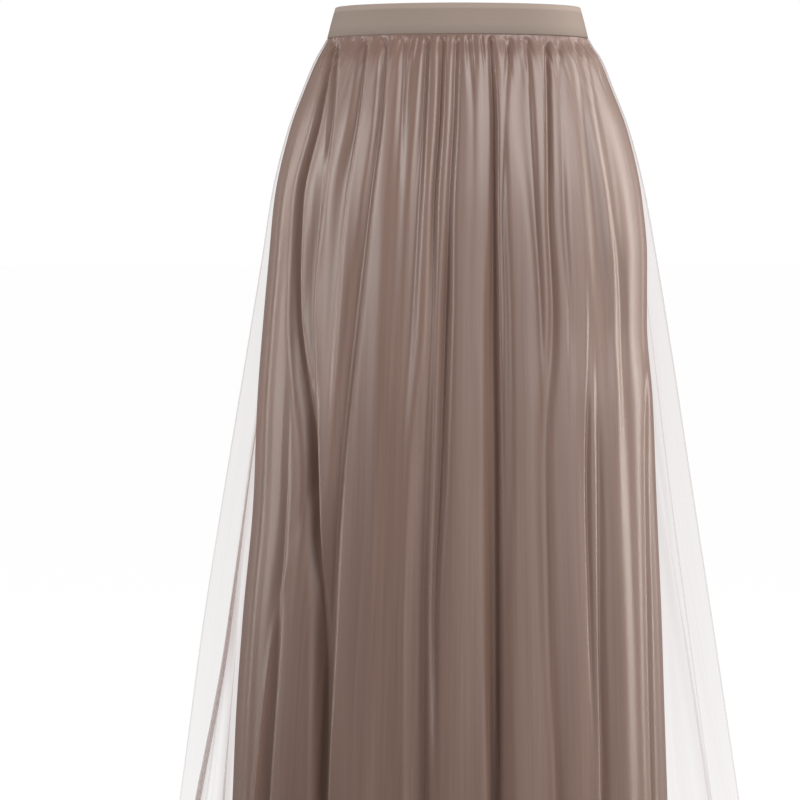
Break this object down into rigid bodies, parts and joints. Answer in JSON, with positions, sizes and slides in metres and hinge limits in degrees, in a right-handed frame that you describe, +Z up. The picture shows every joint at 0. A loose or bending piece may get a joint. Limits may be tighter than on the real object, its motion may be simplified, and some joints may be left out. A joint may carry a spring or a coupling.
{
  "type": "pleated mesh maxi skirt",
  "caption": "Worn-form maxi skirt: sheer gathered mesh flaring from a plain waistband over an opaque satin lining, open at waist and hem.",
  "frame": {"origin": "centre of the waist opening, level with the top edge of the waistband, where the wearer's waist holds the skirt", "axes": "+Z up, the front of the skirt faces -Y, the wearer's left is at +X"},
  "size_m": [0.621, 0.5083, 1],
  "materials": {
    "waistband": "smooth knitted elastic, taupe",
    "mesh": "sheer fine net, dusty rose brown",
    "lining": "soft satin, rose brown"
  },
  "bodies": {
    "root": {"waistband": "waistband", "mesh_front": "mesh", "mesh_back": "mesh", "lining_front": "lining", "lining_back": "lining"}
  },
  "joints": []
}
